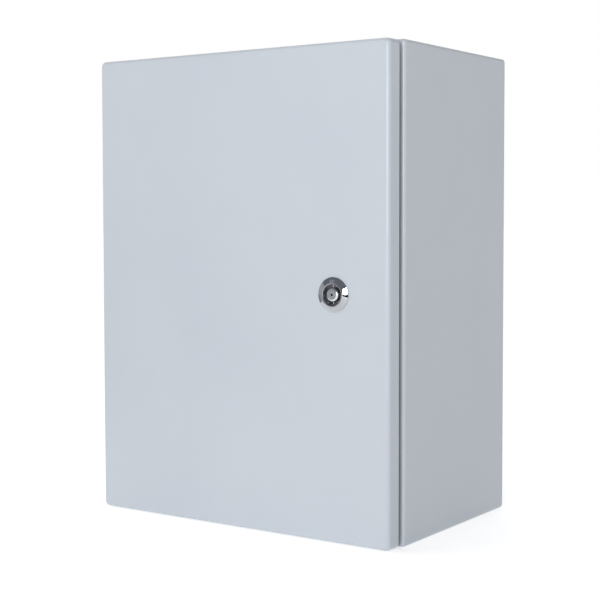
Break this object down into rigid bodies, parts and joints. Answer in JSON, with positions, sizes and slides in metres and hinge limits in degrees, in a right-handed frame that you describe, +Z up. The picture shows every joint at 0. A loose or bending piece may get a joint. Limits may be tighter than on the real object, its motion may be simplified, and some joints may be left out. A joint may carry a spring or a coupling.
{
  "type": "steel wall enclosure",
  "caption": "Painted sheet-steel wall enclosure with a hinged full-front door, a quarter-turn lock, a mounting plate inside and a gland plate in its floor.",
  "frame": {"origin": "middle of the four wall holes, on the outer rear face", "axes": "+X to the right seen from the front, +Y into the wall, +Z up; the door faces -Y"},
  "size_m": [0.3, 0.203, 0.4],
  "materials": {
    "body_paint": "fine satin powder coat, light grey",
    "foam_gasket": "matt foamed polyurethane with a closed skin",
    "black_rubber": "moulded black rubber",
    "chrome_zinc": "polished and chromed zinc casting",
    "chrome_core": "chromed zinc casting, duller than the flange",
    "galvanised_sheet": "galvanised, fine spangle",
    "copper_plated_stud": "copper-flashed weld stud",
    "zinc_plated_steel": "bright zinc plate"
  },
  "bodies": {
    "enclosure": {"body_wrap": "body_paint", "rear_panel": "body_paint", "hinge_frame_leaf_upper": "zinc_plated_steel", "hinge_frame_leaf_lower": "zinc_plated_steel", "hinge_pin_upper": "zinc_plated_steel", "hinge_pin_lower": "zinc_plated_steel", "hinge_frame_studs": "zinc_plated_steel", "hinge_frame_nuts": "zinc_plated_steel", "mounting_plate": "galvanised_sheet", "plate_studs": "copper_plated_stud", "plate_washers": "zinc_plated_steel", "plate_nuts": "zinc_plated_steel", "gland_plate": "galvanised_sheet", "gland_gasket": "foam_gasket", "gland_studs": "copper_plated_stud", "gland_nuts": "zinc_plated_steel", "body_earth_stud": "copper_plated_stud", "body_earth_washer": "zinc_plated_steel", "body_earth_nut": "zinc_plated_steel"},
    "door": {"door_panel": "body_paint", "door_gasket": "foam_gasket", "hinge_door_leaf_upper": "zinc_plated_steel", "hinge_door_leaf_lower": "zinc_plated_steel", "hinge_door_studs": "copper_plated_stud", "hinge_door_nuts": "zinc_plated_steel", "lock_housing": "chrome_zinc", "lock_seal": "black_rubber", "lock_nut": "zinc_plated_steel", "door_earth_stud": "copper_plated_stud", "door_earth_washer": "zinc_plated_steel", "door_earth_nut": "zinc_plated_steel"},
    "lock": {"lock_insert": "chrome_core", "lock_o_ring": "black_rubber", "lock_cam": "zinc_plated_steel", "cam_washer": "zinc_plated_steel", "cam_bolt": "zinc_plated_steel"}
  },
  "joints": [
    {"name": "door_hinge", "type": "hinge", "parent": "enclosure", "child": "door", "pos_m": [-0.1435, -0.192, 0], "axis": [0, 0, -1], "range_deg": [0, 120]},
    {"name": "lock_turn", "type": "hinge", "parent": "door", "child": "lock", "pos_m": [0.098, -0.19, 0], "axis": [0, 1, 0], "range_deg": [0, 90]}
  ]
}
